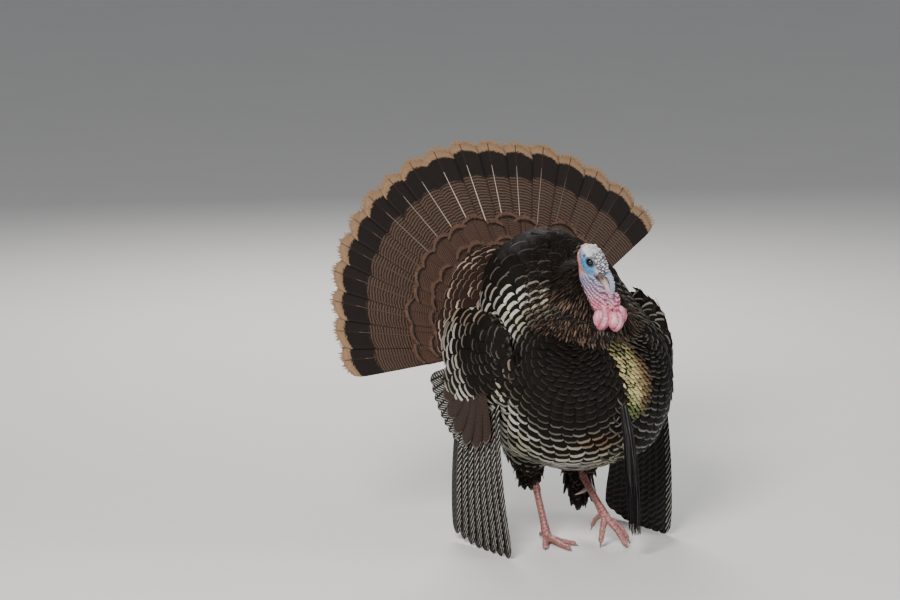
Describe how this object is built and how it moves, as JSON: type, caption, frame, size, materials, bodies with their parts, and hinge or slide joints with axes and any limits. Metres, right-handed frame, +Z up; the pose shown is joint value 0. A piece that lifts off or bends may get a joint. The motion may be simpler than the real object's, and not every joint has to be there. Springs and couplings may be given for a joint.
{
  "type": "wild turkey",
  "caption": "Life-size adult male wild turkey in full strut, tail fanned and wings drooped to the ground, one foot stepping forward; a still display model.",
  "frame": {"origin": "centre of the whole model's box in plan, at floor level", "axes": "+Z is up. The bird faces -Y, so its own left is +X. The tail fan stands across X behind the back, at +Y."},
  "size_m": [0.78, 0.5726, 0.7566],
  "materials": {
    "dark_plumage": "soft overlapping feathers, dark bronze with an oily sheen",
    "copper_plumage": "soft overlapping feathers, copper brown",
    "tail_plumage": "stiff barred feathers with pale tan tips",
    "barred_plumage": "stiff feathers barred dark grey and off-white",
    "bare_skin": "bare wrinkled skin, white crown and pale blue face",
    "wattle_skin": "bare fleshy skin, pink to red",
    "horn": "smooth worn horn",
    "eye": "wet, dark brown",
    "scaled_leg": "scaled skin, dull pinkish red",
    "beard": "coarse black bristles"
  },
  "bodies": {
    "root": {"beard": "beard", "bill_lower": "horn", "bill_upper": "horn", "claw_left_1": "horn", "claw_left_2": "horn", "claw_left_3": "horn", "claw_left_4": "horn", "claw_right_1": "horn", "claw_right_2": "horn", "claw_right_3": "horn", "claw_right_4": "horn", "eye_left": "eye", "eye_right": "eye", "foot_left": "scaled_leg", "foot_right": "scaled_leg", "head": "bare_skin", "neck": "copper_plumage", "rump": "copper_plumage", "shank_left": "scaled_leg", "shank_right": "scaled_leg", "snood": "wattle_skin", "spur_left": "horn", "spur_right": "horn", "tail_coverts": "copper_plumage", "tail_fan": "tail_plumage", "thigh_left": "dark_plumage", "thigh_right": "dark_plumage", "throat": "bare_skin", "trunk": "dark_plumage", "undertail": "tail_plumage", "wattles": "wattle_skin", "wing_coverts_left": "dark_plumage", "wing_coverts_right": "dark_plumage", "wing_primaries_left": "barred_plumage", "wing_primaries_right": "barred_plumage", "wing_secondaries_left": "barred_plumage", "wing_secondaries_right": "barred_plumage"}
  },
  "joints": []
}
